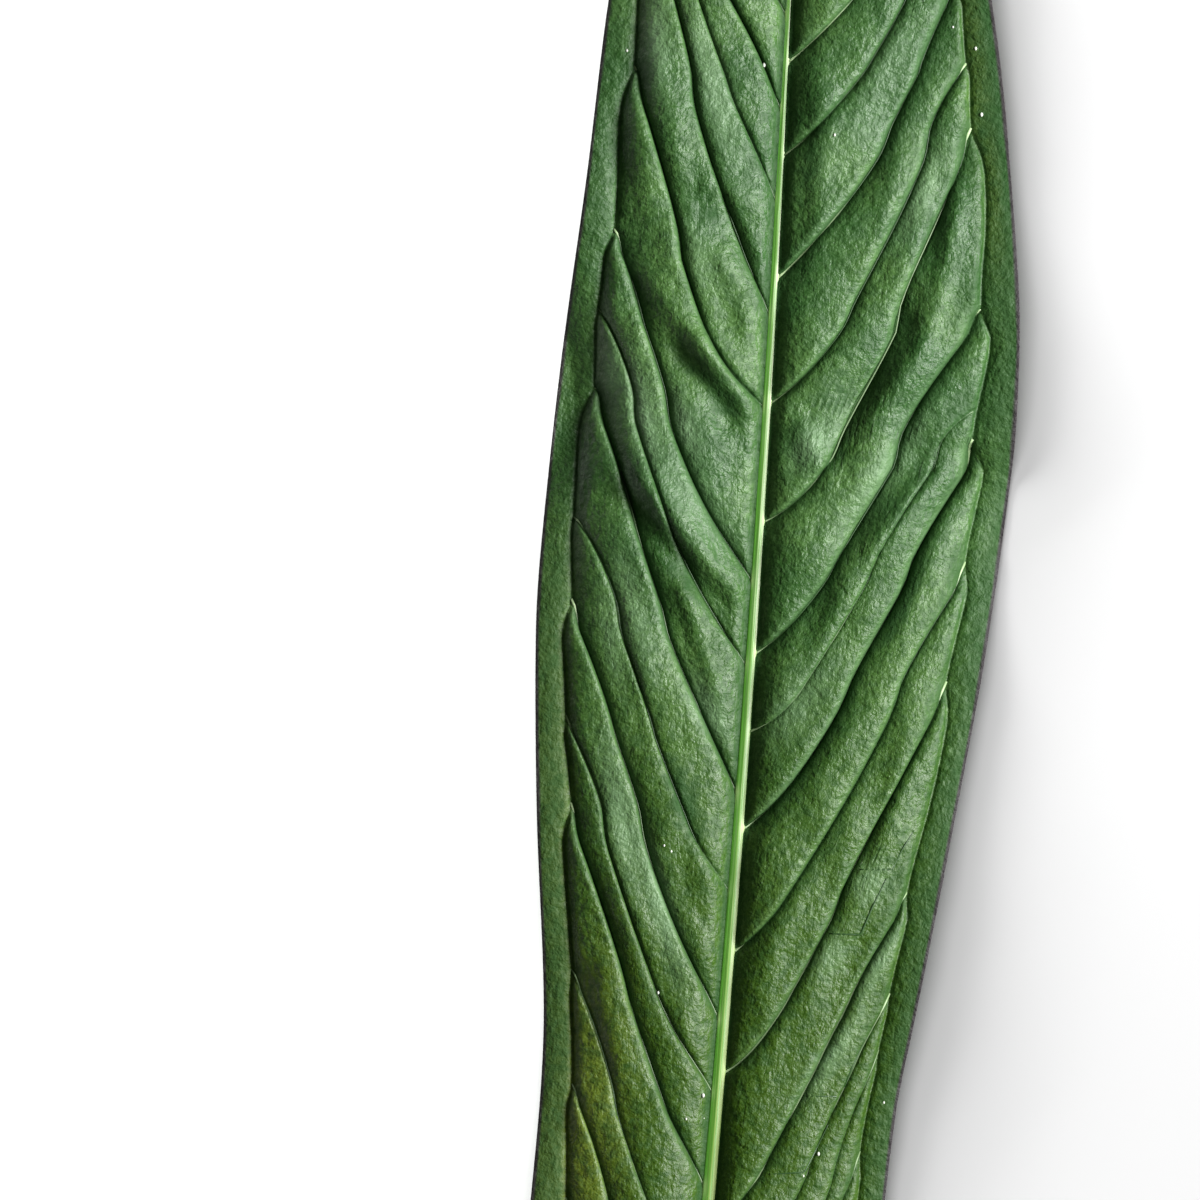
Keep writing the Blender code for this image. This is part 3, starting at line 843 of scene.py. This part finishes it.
def rod_half(station):
    """Half the width of the midrib, the swollen joint or the petiole."""
    share = -station / PETIOLE_LENGTH
    half = PETIOLE_HALF + (PETIOLE_CUT_HALF - PETIOLE_HALF) * ease(share / FLARE_SHARE)
    half = half + (MIDRIB_HALF_AT_BASE - PETIOLE_HALF) * (1 - ease(station / JOINT_START))
    swell = np.clip((station - JOINT_START) / (JOINT_END - JOINT_START), 0, 1)
    half = half + JOINT_SWELL * np.sin(np.pi * swell) ** 2
    return np.where(station >= 0, midrib_half(np.maximum(station, 0)), half)


def rod_height(station):
    """Height of the rod's middle: in the blade's thickness, then down the petiole to the surface."""
    in_blade = midrib_height(np.maximum(station, 0.0)) + CAD_THICKNESS / 2
    on_surface = PETIOLE_CUT_HALF * math.cos(math.pi / CAD_ROD_SIDES)
    fall = ease(-station / (PETIOLE_LENGTH - PETIOLE_FLAT))
    return in_blade + (on_surface - in_blade) * fall


def add_tube(mesh, rings, layers, values):
    """A tube through rings of points, rolled up out of a grid, with values for each of its layers."""
    count, sides = rings.shape[:2]
    made = bmesh.ops.create_grid(mesh, x_segments=sides, y_segments=count - 1, size=0.5)
    for vert in made["verts"]:
        i = round((vert.co.y + 0.5) * (count - 1))
        j = round((vert.co.x + 0.5) * sides) % sides
        vert.co = rings[i, j]
        for layer, numbers in zip(layers, values):
            vert[layer] = float(numbers[i, j])
    bmesh.ops.remove_doubles(mesh, verts=made["verts"], dist=1e-7)


def close_ends(mesh):
    """Fill the open rings and turn every face outwards."""
    open_edges = [edge for edge in mesh.edges if edge.is_boundary]
    bmesh.ops.holes_fill(mesh, edges=open_edges, sides=0)
    bmesh.ops.recalc_face_normals(mesh, faces=mesh.faces)


def build_midrib(settings):
    """The pale midrib, the swollen joint and the cut stalk, as one tapering rod."""
    mesh = bmesh.new()
    layers = [mesh.verts.layers.float.new(name) for name in ("flank", "pale", "cut", "warm")]
    ends = (-PETIOLE_LENGTH, BLADE_LENGTH - 1.2)
    count = round((ends[1] - ends[0]) / ROD_STEP)
    station = np.linspace(*ends, count)[:, None]
    angle = (2 * np.pi * (np.arange(ROD_SIDES) + 0.5) / ROD_SIDES)[None, :]
    lift = -np.cos(angle)
    half = rod_half(station)
    taper = np.clip((BLADE_LENGTH - station) / 30, 0.25, 1)
    half = half * np.where(station > 0, taper * settings.rib_share, 1)
    keeled = ease((station + KEEL_BLEND) / (2 * KEEL_BLEND))
    depth = np.where(lift > 0, 1 + (MIDRIB_CREST - 1) * keeled, 1 + (MIDRIB_KEEL - 1) * keeled)

    # Fine grooves run along the crest, and the joint is wrinkled across
    ridge = hump(angle - np.pi - 0.42, 0.2) + 0.7 * hump(angle - np.pi + 0.5, 0.2)
    reach = 1 - 0.1 * ridge * keeled
    joint = hump(station - (JOINT_START + JOINT_END) / 2, 7)
    reach = reach + 0.02 * joint * np.sin(station * 4.2 + 1.5 * np.sin(angle))
    channel = hump(angle - np.pi, 0.5) * (1 - keeled)
    reach = reach - 0.16 * channel
    x = midrib_x(station) + half * reach * np.sin(angle)
    z = rod_height(station) + half * depth * reach * lift
    z = np.maximum(z, 0.0)
    y = along(station) + 0 * angle
    rings = np.stack([x, y, z], axis=-1) * MM
    # The rib's greener flanks and underside, and its left side painted greener and darker as painted shade,
    # the side turned from the key light
    flank = np.clip(1 - np.maximum(lift, 0) * 1.7, 0, 1)
    across = np.sin(angle)
    green = ease((0.06 - across) / 0.16) * (1 - 0.35 * hump(across + 0.3, 0.12))
    green = np.maximum(green, 0.9 * hump(across - 0.27, 0.1))
    flank = np.maximum(flank, green) * keeled + 0 * x
    pale = np.zeros_like(x)
    for side, (veins, _, _) in HALVES.items():
        for root, _, strength, _, _ in veins:
            dot = hump(station - root - 1, 1.6) * strength
            pale = np.maximum(pale, dot * np.clip(side * np.sin(angle), 0, 1) * 0.8)
    cut = np.clip(1 - (station + PETIOLE_LENGTH) / 2.2, 0, 1) + 0 * x
    warm = ease((300 - station) / 110) + 0 * x
    add_tube(mesh, rings, layers, (flank, pale, cut, warm))
    close_ends(mesh)
    rod = object_from(mesh, "midrib_stalk", [rib_finish(settings)])
    rod.data.set_sharp_from_angle(angle=math.radians(60))
    claim(rod, "midrib_and_petiole")


def vein_line(side, vein, settings, columns):
    """Points along a side vein on the blade's upper face, in millimetres."""
    root, end, depth, bow, swing = vein
    rows = np.array([(root, end, bow, swing, 0.0, depth, depth, SLOPE_WIDTH, 0)] * 2)
    rows[1, 0] += 20
    rows[1, 1] += 20
    face = blade_surface(side, rows, columns)
    z = np.maximum(blade_height(side, face, settings.relief / MM), settings.thickness / MM)
    return np.stack([face["x"][0], along(face["station"][0]), z[0]], axis=-1)


def thread_rings(line, half, rise, sides=6):
    """Rings round a line of points that lies on the blade."""
    ahead = np.gradient(line, axis=0)
    ahead /= np.linalg.norm(ahead, axis=1)[:, None]
    across = np.cross(ahead, (0.0, 0.0, 1.0))
    across /= np.linalg.norm(across, axis=1)[:, None]
    up = np.cross(across, ahead)
    angle = 2 * np.pi * np.arange(sides) / sides
    ring = across[:, None, :] * (np.cos(angle)[None, :, None] * half[:, None, None])
    ring = ring + up[:, None, :] * (np.sin(angle)[None, :, None] * half[:, None, None] * rise)
    return (line[:, None, :] + ring) * MM


def finished_blade():
    """The blade's mesh, which its veins and specks lie on."""
    if "leaf_blade" not in bpy.data.objects:
        raise RuntimeError("the blade is added before what lies on it")
    return bpy.data.objects["leaf_blade"].data


# A side vein's thread is widest and palest at this share of its run, where the paleness is a painted
# highlight
THREAD_TIP = 0.985

# Where a side vein's thread is pale: how much, and from and to which share of its run, by its root
PALE_THREADS = {
    -1: {278.5: (0.1, 0, 1), 229: (0.15, 0, 1), 192: (0.2, 0, 1), 213: (0.2, 0, 1)},
    1: {
        156: (0.25, 0, 1), 183: (0.4, 0, 0.9), 218: (0.32, 0, 0.8), 244.5: (0.35, 0, 0.3),
        271.5: (0.2, 0, 0.25), 293: (0.2, 0, 0.4), 339: (0.24, 0.25, 0.75), 392.5: (0.35, 0, 0.25),
        440: (0.35, 0, 0.3),
    },
}

# Cross veins that step between side veins, as corners in the picture in pixels
CROSS_VEINS = (
    ((914, 830), (900, 852), (892, 869), (858, 869)),
    ((886, 878), (872, 906), (860, 934), (829, 933)),
    ((866, 1036), (852, 1066), (840, 1096), (805, 1095)),
    ((828, 1124), (816, 1148), (804, 1171), (768, 1173)),
)


def line_on_blade(surface, corners):
    """Points along a line of the picture, dropped onto the blade's upper face."""
    places = np.array([picture_place(*corner) for corner in corners])
    reach = np.concatenate([[0.0], np.cumsum(np.hypot(*np.diff(places, axis=0).T))])
    steps = np.linspace(0.0, reach[-1], math.ceil(reach[-1]) + 2)
    x, y = (np.interp(steps, reach, places[:, axis]) for axis in (0, 1))
    down = Vector((0.0, 0.0, -1.0))
    z = [surface.ray_cast(Vector((a * MM, b * MM, 0.1)), down)[0].z / MM for a, b in zip(x, y)]
    return np.stack([x, y, z], axis=-1)


def build_side_veins(settings):
    """The side veins' threads in their grooves, and a few cross veins between them."""
    mesh = bmesh.new()
    layers = [mesh.verts.layers.float.new("pale")]
    columns = np.linspace(0.0, 1.0, 44)
    for side, (veins, _, _) in HALVES.items():
        for vein in veins:
            line = vein_line(side, vein, bpy.context.scene.leaf_blade_settings, columns)
            strength = vein[2]
            half = settings.thread_half / MM * (0.55 + 0.45 * strength)
            half = half * (1 - 0.45 * columns) + 0.3 * strength * hump(columns - THREAD_TIP, 0.022)
            half = half + (0.14 if side > 0 else 0.0) * hump(columns, 0.07)
            half = half * min(1.0, (BLADE_LENGTH - vein[0]) / 60 + 0.3)
            # Pale at the root, far more on the right half that faces the key light, and at the tip as a
            # painted highlight
            pale = (0.6 if side > 0 else 0.1) * hump(columns, 0.08)
            pale = pale + 0.9 * strength * hump(columns - THREAD_TIP, 0.03)
            amount, first, last = PALE_THREADS[side].get(vein[0], (0.0, 0, 1))
            paler = amount * ease((columns - first) / 0.08 + 1) * ease((last - columns) / 0.08 + 1)
            pale, half = pale + paler, half + 0.25 * paler
            rings = thread_rings(line, half, 0.8)
            values = np.clip(pale, 0, 1)[:, None] + 0 * rings[:, :, 0]
            add_tube(mesh, rings, layers, (values,))
    blade = finished_blade()
    surface = BVHTree.FromPolygons(
        [vert.co for vert in blade.vertices], [face.vertices for face in blade.polygons]
    )
    for corners in CROSS_VEINS:
        line = line_on_blade(surface, corners)
        half = 1.5 * settings.thread_half / MM * np.sin(np.linspace(0.15, 2.9, len(line))) ** 0.5
        rings = thread_rings(line, half, 0.8)
        add_tube(mesh, rings, layers, (0 * rings[:, :, 0],))
    close_ends(mesh)
    threads = object_from(mesh, "side_veins", [thread_finish(settings)])
    claim(threads, None)


# Specks of dried lime, by their place in the picture in pixels
SPECKS = (
    (664, 845), (671, 851), (703, 1095), (703, 1118), (686, 1118), (658, 992), (785, 803), (818, 1153),
    (803, 1175), (884, 1103), (820, 1067), (764, 65), (627, 50), (953, 27), (976, 48), (982, 114),
    (834, 136),
)


def build_specks(settings):
    """Small flat specks that sit on the blade's upper face."""
    points = np.array([vert.co for vert in finished_blade().vertices])
    mesh = bmesh.new()
    for i, (column, row) in enumerate(SPECKS):
        x, y = picture_place(column, row)
        near = points[np.argmin(np.hypot(points[:, 0] - x * MM, points[:, 1] - y * MM))]
        half = settings.speck_half / MM * (0.7 + 0.5 * math.sin(i * 2.4) ** 2)
        made = bmesh.ops.create_icosphere(mesh, subdivisions=1, radius=half * MM)
        bmesh.ops.scale(mesh, vec=(1.0, 1.4, 0.35), verts=made["verts"])
        bmesh.ops.translate(mesh, vec=(x * MM, y * MM, near[2] + 0.00005), verts=made["verts"])
    specks = object_from(mesh, "lime_specks", [speck_finish(settings)])
    claim(specks, None)


def colour_property(name, description, default):
    """A colour that a user can change."""
    return bpy.props.FloatVectorProperty(
        name=name, description=description, default=(*default, 1.0), size=4, min=0.0, max=1.0, subtype="COLOR"
    )


def length_property(name, description, default):
    """A length that a user can change, in metres."""
    return bpy.props.FloatProperty(
        name=name, description=description, default=default, min=0.0, precision=5, unit="LENGTH"
    )


def number_property(name, description, default, low, high):
    """A plain number that a user can change."""
    return bpy.props.FloatProperty(name=name, description=description, default=default, min=low, max=high)


def power_property(name, description, default):
    """A light's power that a user can change, in watts."""
    return bpy.props.FloatProperty(name=name, description=description, default=default, min=0.0, unit="POWER")


class LeafBladeSettings(bpy.types.PropertyGroup):
    """Sizes and colours of the blade."""

    thickness: length_property("Thickness", "Thickness of the blade", 0.0007)
    relief: length_property("Relief", "How far the strips stand up between their veins", 0.0021)
    net_size: number_property("Net", "Size of the net's cells, in millimetres", 1.15, 0.2, 5.0)
    gloss: number_property("Roughness", "Roughness of the waxy face", 0.47, 0.05, 0.9)
    dark_green: colour_property("Dark green", "The blade's darker green", (0.025, 0.08, 0.016))
    mid_green: colour_property("Mid green", "The blade's lighter green", (0.06, 0.137, 0.03))
    # The leaf's yellower tone towards the stalk, darkened as painted shade for weaker light
    low_green_and_shade: colour_property("Lower green", "Yellower green towards the stalk", (0.036, 0.081, 0.003))
    olive_green: colour_property("Olive", "Green near the left edge, low down", (0.12, 0.162, 0.014))
    # Painted shade: the dark green of the grooves, vein bands, crumples, midrib line and margins; it also
    # darkens random flecks of the mottle
    shade_and_mottle_green: colour_property("Groove", "Green in the grooves and along the edge", (0.008, 0.049, 0.003))
    # Painted sheen: the lighter, greyer green where the waxy face catches the light
    sheen_green: colour_property("Sheen", "Green where the waxy bloom is thick", (0.15, 0.255, 0.125))
    rim_brown: colour_property("Rim", "Dark line along the blade's edge", (0.018, 0.014, 0.016))
    vein_green: colour_property("Small veins", "Green of the small veins", (0.1, 0.2, 0.07))
    under_green: colour_property("Underside", "Green of the lower face", (0.05, 0.12, 0.035))
    under_pale: colour_property("Pale underside", "Lighter green of the lower face", (0.08, 0.17, 0.055))


class LeafRibSettings(bpy.types.PropertyGroup):
    """Sizes and colours of the midrib, stalk and side veins."""

    rib_share: number_property("Width", "Width of the midrib against the solid one's", 1.12, 0.5, 1.3)
    thread_half: length_property("Side veins", "Half the width of a side vein's thread", 0.00016)
    speck_half: length_property("Specks", "Half the width of a speck", 0.00034)
    rib_green: colour_property("Rib green", "The midrib's darker green", (0.15, 0.29, 0.06))
    rib_pale: colour_property("Rib pale", "The midrib's lighter green", (0.36, 0.45, 0.24))
    rib_low: colour_property("Lower rib", "Yellower green of the rib towards the stalk", (0.2, 0.3, 0.05))
    # The flanks' green, also painted shade on the rib's left side
    flank_and_shade_green: colour_property("Flank", "Green of the midrib's flanks", (0.07, 0.24, 0.022))
    joint_pale: colour_property("Vein roots", "Where side veins leave the midrib", (0.36, 0.47, 0.2))
    cut_brown: colour_property("Cut end", "The stalk's cut end", (0.2, 0.17, 0.07))
    thread_green: colour_property("Thread green", "Side veins along most of their run", (0.02, 0.06, 0.012))
    # Pale threads, and the painted highlight at the vein tips
    thread_pale_and_highlight: colour_property("Thread pale", "Side veins where they are pale", (0.4, 0.54, 0.28))
    speck_grey: colour_property("Speck grey", "The specks' darker shade", (0.45, 0.48, 0.4))
    speck_white: colour_property("Speck white", "The specks' lighter shade", (0.8, 0.82, 0.75))


class LeafStageSettings(bpy.types.PropertyGroup):
    """Lights, floor and camera."""

    key_power: power_property("Key light", "Power of the soft light from the right", 46.0)
    fill_power: power_property("Fill light", "Power of the soft light from above", 1.6)
    floor_power: power_property("Floor light", "Power of the light on the floor", 29.0)
    surround: number_property("Surround", "Strength of the pale surround", 0.035, 0.0, 5.0)
    floor_white: colour_property("Floor", "The plain floor", (0.9, 0.9, 0.9))


class LEAF_OT_blade(bpy.types.Operator):
    """Add the blade with its quilted strips and sunken veins"""

    bl_idname = "leaf.blade"
    bl_label = "Blade"

    def execute(self, context):
        build_blade(context.scene.leaf_blade_settings)
        return {"FINISHED"}


class LEAF_OT_midrib(bpy.types.Operator):
    """Add the pale midrib, swollen joint and cut stalk"""

    bl_idname = "leaf.midrib"
    bl_label = "Midrib and stalk"

    def execute(self, context):
        build_midrib(context.scene.leaf_rib_settings)
        return {"FINISHED"}


class LEAF_OT_side_veins(bpy.types.Operator):
    """Add the threads of the side veins"""

    bl_idname = "leaf.side_veins"
    bl_label = "Side veins"

    def execute(self, context):
        build_side_veins(context.scene.leaf_rib_settings)
        return {"FINISHED"}


class LEAF_OT_specks(bpy.types.Operator):
    """Add the lime specks on the blade"""

    bl_idname = "leaf.specks"
    bl_label = "Specks"

    def execute(self, context):
        build_specks(context.scene.leaf_rib_settings)
        return {"FINISHED"}


def area_light(name, power, size, place, target, lit, colour=(1.0, 1.0, 1.0)):
    """A soft rectangular light that faces a point and falls on some objects alone."""
    data = bpy.data.lights.new(name, "AREA")
    data.shape = "RECTANGLE"
    data.size, data.size_y = size
    data.energy = power
    data.color = colour
    light = bpy.data.objects.new(name, data)
    light.location = place
    light.rotation_euler = (Vector(target) - Vector(place)).to_track_quat("-Z", "Y").to_euler()
    bpy.context.scene.collection.objects.link(light)
    group = bpy.data.collections.new(name)
    for item in lit:
        group.objects.link(item)
    light.light_linking.receiver_collection = group


class LEAF_OT_stage(bpy.types.Operator):
    """Add the floor, the lights and the camera"""

    bl_idname = "leaf.stage"
    bl_label = "Stage"

    def execute(self, context):
        settings = context.scene.leaf_stage_settings
        mesh = bmesh.new()
        bmesh.ops.create_grid(mesh, x_segments=1, y_segments=1, size=3.0)
        bmesh.ops.translate(mesh, vec=(0.0, 0.0, -0.0003), verts=mesh.verts)
        material, tree, shader = new_material("floor_white")
        rough = remap(tree, noise_share(tree, object_place(tree), 3.0), 0.3, 0.7, 0.85, 0.95)
        dress(tree, shader, settings.floor_white, rough)
        floor = object_from(mesh, "floor", [material])

        middle = (VIEW_X * MM + 0.035, VIEW_Y * MM, 0.0)
        leaf = [item for item in context.scene.objects if item.type == "MESH" and item is not floor]
        area_light("key_light", settings.key_power, (1.0, 0.5), (0.93, 0.32, 0.76), middle, leaf)
        area_light(
            "fill_light", settings.fill_power, (1.4, 1.4), (0.25, 0.35, 1.6), middle, leaf, (0.85, 1.0, 0.75)
        )
        for name, share, size, place in (
            ("floor_light", 0.5, (1.2, 0.5), (-0.8, 0.95, 0.62)),
            ("floor_light_low", 1.0, (1.4, 0.2), (-0.85, 0.95, 0.24)),
            ("floor_wash", 0.76, (1.6, 1.6), (-0.2, 0.1, 1.7)),
        ):
            area_light(name, settings.floor_power * share, size, place, middle, [floor])

        world = bpy.data.worlds.new("pale_surround")
        world.use_nodes = True
        world.node_tree.nodes["Background"].inputs["Color"].default_value = (1.0, 1.0, 1.0, 1.0)
        world.node_tree.nodes["Background"].inputs["Strength"].default_value = settings.surround
        context.scene.world = world

        lens = bpy.data.cameras.new("camera")
        lens.lens = LENS
        lens.sensor_width = SENSOR
        lens.sensor_fit = "HORIZONTAL"
        lens.clip_end = 20.0
        camera = bpy.data.objects.new("camera", lens)
        distance = VIEW_WIDTH * MM * LENS / SENSOR
        camera.location = (VIEW_X * MM, VIEW_Y * MM, distance + 0.008)
        camera.rotation_euler = (0.0, 0.0, math.radians(VIEW_TURN))
        context.scene.collection.objects.link(camera)
        context.scene.camera = camera
        context.scene.view_settings.view_transform = "Standard"
        return {"FINISHED"}


class LEAF_PT_panel(bpy.types.Panel):
    """The leaf's pieces and their settings"""

    bl_idname = "LEAF_PT_panel"
    bl_label = "Anthurium leaf"
    bl_space_type = "VIEW_3D"
    bl_region_type = "UI"
    bl_category = "Leaf"

    def draw(self, context):
        scene = context.scene
        for settings, operators in (
            (scene.leaf_blade_settings, (LEAF_OT_blade,)),
            (scene.leaf_rib_settings, (LEAF_OT_midrib, LEAF_OT_side_veins, LEAF_OT_specks)),
            (scene.leaf_stage_settings, (LEAF_OT_stage,)),
        ):
            box = self.layout.box()
            for name in type(settings).__annotations__:
                box.prop(settings, name)
            for operator in operators:
                box.operator(operator.bl_idname)


SETTINGS = {
    "leaf_blade_settings": LeafBladeSettings,
    "leaf_rib_settings": LeafRibSettings,
    "leaf_stage_settings": LeafStageSettings,
}
CLASSES = (
    *SETTINGS.values(),
    LEAF_OT_blade,
    LEAF_OT_midrib,
    LEAF_OT_side_veins,
    LEAF_OT_specks,
    LEAF_OT_stage,
    LEAF_PT_panel,
)


def register():
    """Register the classes and hang the settings on the scene."""
    for item in CLASSES:
        bpy.utils.register_class(item)
    for name, group in SETTINGS.items():
        setattr(bpy.types.Scene, name, bpy.props.PointerProperty(type=group))


def unregister():
    """Take the settings and the classes away again."""
    for name in SETTINGS:
        delattr(bpy.types.Scene, name)
    for item in reversed(CLASSES):
        bpy.utils.unregister_class(item)


def main():
    """Build the leaf and its stage."""
    register()
    bpy.ops.leaf.blade()
    bpy.ops.leaf.midrib()
    bpy.ops.leaf.side_veins()
    bpy.ops.leaf.specks()
    bpy.ops.leaf.stage()


if __name__ == "__main__":
    main()
